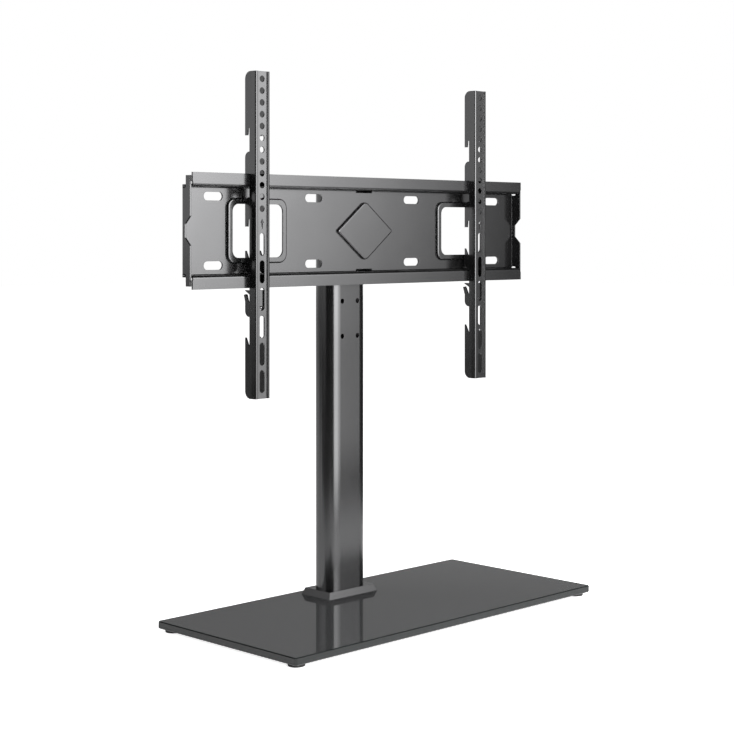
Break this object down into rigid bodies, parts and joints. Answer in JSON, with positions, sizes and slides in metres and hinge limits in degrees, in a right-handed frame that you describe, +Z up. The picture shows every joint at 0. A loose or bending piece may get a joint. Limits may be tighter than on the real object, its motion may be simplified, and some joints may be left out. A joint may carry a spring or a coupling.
{
  "type": "tv stand with mount",
  "caption": "Tabletop screen stand: glass base, oval steel column with collar, and a pressed steel face plate carrying two hook-on upright rails that slide sideways and latch.",
  "frame": {"origin": "on the surface that the feet stand on, under the middle of the glass base", "axes": "+Z up, +X to the right seen from the front, and the screen side faces -Y"},
  "size_m": [0.655, 0.273, 0.7441],
  "materials": {
    "powder_steel": "satin powder coat",
    "black_glass": "polished, opaque black",
    "rubber_black": "matt",
    "zinc_steel": "zinc plated",
    "black_bolt": "black finish",
    "cap_plastic": "fine satin",
    "bushing_plastic": "natural nylon"
  },
  "bodies": {
    "stand": {"glass_base": "black_glass", "foot_front_left": "rubber_black", "foot_front_right": "rubber_black", "foot_back_left": "rubber_black", "foot_back_right": "rubber_black", "clamp_plate": "zinc_steel", "clamp_gasket": "rubber_black", "glass_bushings": "bushing_plastic", "base_bolts": "zinc_steel", "base_gasket": "rubber_black", "foot_plate": "powder_steel", "collar": "powder_steel", "column": "powder_steel", "column_sleeves": "zinc_steel", "column_cap": "cap_plastic", "column_bolts": "black_bolt", "column_washers": "zinc_steel", "plate_bracket": "powder_steel", "bracket_nuts": "zinc_steel", "face_plate": "powder_steel"},
    "rail_left_body": {"rail_left": "powder_steel", "latch_pin_left": "black_bolt", "latch_spring_left": "zinc_steel"},
    "latch_left_body": {"latch_left": "powder_steel"},
    "rail_right_body": {"rail_right": "powder_steel", "latch_pin_right": "black_bolt", "latch_spring_right": "zinc_steel"},
    "latch_right_body": {"latch_right": "powder_steel"}
  },
  "joints": [
    {"name": "rail_left_slide", "type": "slide", "parent": "stand", "child": "rail_left_body", "axis": [1, 0, 0], "range_m": [-0.0937, 0.2027]},
    {"name": "rail_right_slide", "type": "slide", "parent": "stand", "child": "rail_right_body", "axis": [1, 0, 0], "range_m": [-0.2027, 0.0937]},
    {"name": "latch_left_hinge", "type": "hinge", "parent": "rail_left_body", "child": "latch_left_body", "pos_m": [-0.217, 0.01925, 0.4305], "axis": [-1, 0, 0], "range_deg": [0, 25], "stiffness_Nm_per_rad": 0.08, "springref_deg": -20.05},
    {"name": "latch_right_hinge", "type": "hinge", "parent": "rail_right_body", "child": "latch_right_body", "pos_m": [0.217, 0.01925, 0.4305], "axis": [-1, 0, 0], "range_deg": [0, 25], "stiffness_Nm_per_rad": 0.08, "springref_deg": -20.05}
  ]
}
